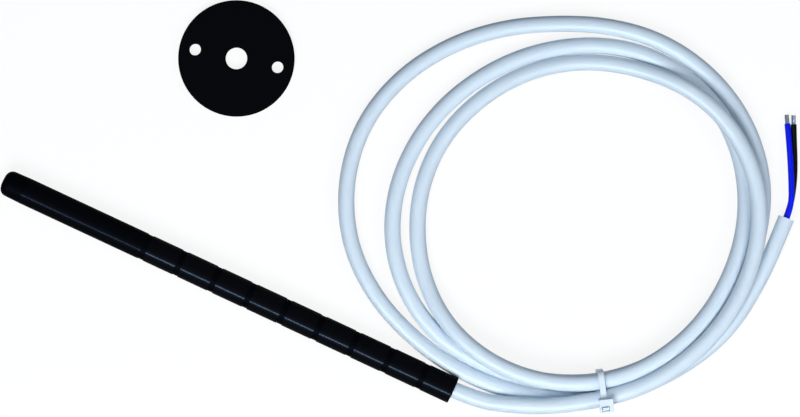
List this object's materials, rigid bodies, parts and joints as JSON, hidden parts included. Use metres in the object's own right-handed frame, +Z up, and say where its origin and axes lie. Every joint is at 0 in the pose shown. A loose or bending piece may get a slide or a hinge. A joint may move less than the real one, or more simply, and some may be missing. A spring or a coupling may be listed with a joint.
{
  "type": "duct temperature sensor",
  "caption": "Slim round stem sensor for air ducts with a closed tip, a coiled and tied cable that ends in stripped cores, and a loose soft mounting flange.",
  "frame": {"origin": "on the surface that the sensor lies on, under the middle of the box round the stem and the flange, the cable left out", "axes": "+X along the stem from its tip to its cable end, +Y from the stem towards the flange and the coil, +Z up"},
  "size_m": [0.27, 0.1562, 0.0179],
  "materials": {
    "black_plastic": "satin moulded",
    "black_rubber": "soft matte",
    "white_jacket": "smooth soft PVC",
    "natural_nylon": "milky nylon",
    "blue_insulation": "smooth PVC",
    "black_insulation": "smooth PVC",
    "tinned_copper": "tinned strands",
    "copper": "bare strands",
    "solder": "soft solder",
    "resin": "cast resin",
    "ceramic": "white ceramic",
    "glaze": "glass bead"
  },
  "bodies": {
    "root": {"probe_tube": "black_plastic", "flange": "black_rubber", "rear_seal": "resin", "tip_potting": "resin", "element_chip": "ceramic", "element_glaze": "glaze", "element_wire_blue": "tinned_copper", "element_wire_black": "tinned_copper", "solder_joint_blue": "solder", "solder_joint_black": "solder", "joint_sleeve_blue": "black_insulation", "joint_sleeve_black": "black_insulation", "inner_core_blue": "blue_insulation", "inner_core_black": "black_insulation", "conductor_blue": "copper", "conductor_black": "copper", "cable_lead_in": "white_jacket", "cable_coil": "white_jacket", "cable_tail": "white_jacket", "cable_tie": "natural_nylon", "core_blue": "blue_insulation", "core_black": "black_insulation", "tinned_end_blue": "tinned_copper", "tinned_end_black": "tinned_copper"}
  },
  "joints": []
}
